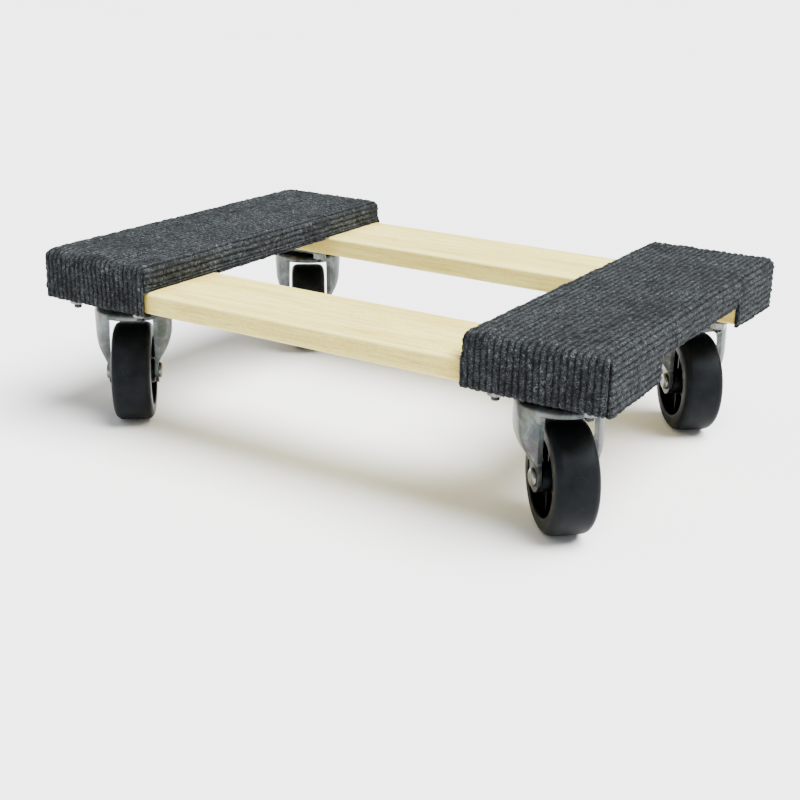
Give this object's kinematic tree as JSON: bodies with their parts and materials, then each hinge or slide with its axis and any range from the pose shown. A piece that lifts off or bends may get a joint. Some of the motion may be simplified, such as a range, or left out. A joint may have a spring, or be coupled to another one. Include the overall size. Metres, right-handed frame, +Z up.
{
  "type": "furniture dolly",
  "caption": "Low open-deck furniture dolly: wooden rails under carpet-covered cross boards, on plate-mounted swivel casters.",
  "frame": {"origin": "on the floor under the centre of the deck, which is within 3 mm of the centre of the bounding box's base", "axes": "+X along the rails to the right-hand cross board, +Y to the rear rail, +Z up"},
  "size_m": [0.46, 0.3134, 0.13],
  "materials": {
    "wood": "planed pale softwood, unvarnished, softly rounded edges",
    "carpet": "ribbed needle-punch carpet, matt, charcoal grey",
    "zinc_steel": "pressed steel, zinc plated, satin",
    "bright_steel": "bright zinc plated fasteners and rivets",
    "ball_steel": "polished bearing balls, greased",
    "wheel": "moulded black wheel, satin sides and a slightly worn tread"
  },
  "bodies": {
    "frame": {"rail_front": "wood", "rail_rear": "wood", "cross_board_left": "wood", "cross_board_right": "wood", "carpet_cover_left": "carpet", "carpet_cover_right": "carpet", "carpet_staples_left": "bright_steel", "carpet_staples_right": "bright_steel", "front_left_plate_bolts": "bright_steel", "front_left_plate_nuts": "bright_steel", "front_left_plate": "zinc_steel", "front_left_king_pin": "bright_steel", "front_left_dust_cap": "zinc_steel", "front_right_plate_bolts": "bright_steel", "front_right_plate_nuts": "bright_steel", "front_right_plate": "zinc_steel", "front_right_king_pin": "bright_steel", "front_right_dust_cap": "zinc_steel", "rear_left_plate_bolts": "bright_steel", "rear_left_plate_nuts": "bright_steel", "rear_left_plate": "zinc_steel", "rear_left_king_pin": "bright_steel", "rear_left_dust_cap": "zinc_steel", "rear_right_plate_bolts": "bright_steel", "rear_right_plate_nuts": "bright_steel", "rear_right_plate": "zinc_steel", "rear_right_king_pin": "bright_steel", "rear_right_dust_cap": "zinc_steel"},
    "front_left_caster": {"front_left_top_balls": "ball_steel", "front_left_bottom_balls": "ball_steel", "front_left_fork": "zinc_steel", "front_left_axle": "bright_steel", "front_left_hub_sleeve": "zinc_steel"},
    "front_left_roller": {"front_left_wheel": "wheel"},
    "front_right_caster": {"front_right_top_balls": "ball_steel", "front_right_bottom_balls": "ball_steel", "front_right_fork": "zinc_steel", "front_right_axle": "bright_steel", "front_right_hub_sleeve": "zinc_steel"},
    "front_right_roller": {"front_right_wheel": "wheel"},
    "rear_left_caster": {"rear_left_top_balls": "ball_steel", "rear_left_bottom_balls": "ball_steel", "rear_left_fork": "zinc_steel", "rear_left_axle": "bright_steel", "rear_left_hub_sleeve": "zinc_steel"},
    "rear_left_roller": {"rear_left_wheel": "wheel"},
    "rear_right_caster": {"rear_right_top_balls": "ball_steel", "rear_right_bottom_balls": "ball_steel", "rear_right_fork": "zinc_steel", "rear_right_axle": "bright_steel", "rear_right_hub_sleeve": "zinc_steel"},
    "rear_right_roller": {"rear_right_wheel": "wheel"}
  },
  "joints": [
    {"name": "front_left_swivel", "type": "hinge", "parent": "frame", "child": "front_left_caster", "pos_m": [-0.1795, -0.1125, 0.0863], "axis": [0, 0, 1], "continuous": true},
    {"name": "front_left_roll", "type": "hinge", "parent": "front_left_caster", "child": "front_left_roller", "pos_m": [-0.17119, -0.12314, 0.0375], "axis": [0.788, 0.6157, 0], "continuous": true},
    {"name": "front_right_swivel", "type": "hinge", "parent": "frame", "child": "front_right_caster", "pos_m": [0.1795, -0.1125, 0.0863], "axis": [0, 0, 1], "continuous": true},
    {"name": "front_right_roll", "type": "hinge", "parent": "front_right_caster", "child": "front_right_roller", "pos_m": [0.18871, -0.12237, 0.0375], "axis": [0.7314, 0.682, 0], "continuous": true},
    {"name": "rear_left_swivel", "type": "hinge", "parent": "frame", "child": "rear_left_caster", "pos_m": [-0.1795, 0.1125, 0.0863], "axis": [0, 0, 1], "continuous": true},
    {"name": "rear_left_roll", "type": "hinge", "parent": "rear_left_caster", "child": "rear_left_roller", "pos_m": [-0.17138, 0.10172, 0.0375], "axis": [0.7986, 0.6018, 0], "continuous": true},
    {"name": "rear_right_swivel", "type": "hinge", "parent": "frame", "child": "rear_right_caster", "pos_m": [0.1795, 0.1125, 0.0863], "axis": [0, 0, 1], "continuous": true},
    {"name": "rear_right_roll", "type": "hinge", "parent": "rear_right_caster", "child": "rear_right_roller", "pos_m": [0.18818, 0.10216, 0.0375], "axis": [0.766, 0.6428, 0], "continuous": true}
  ]
}
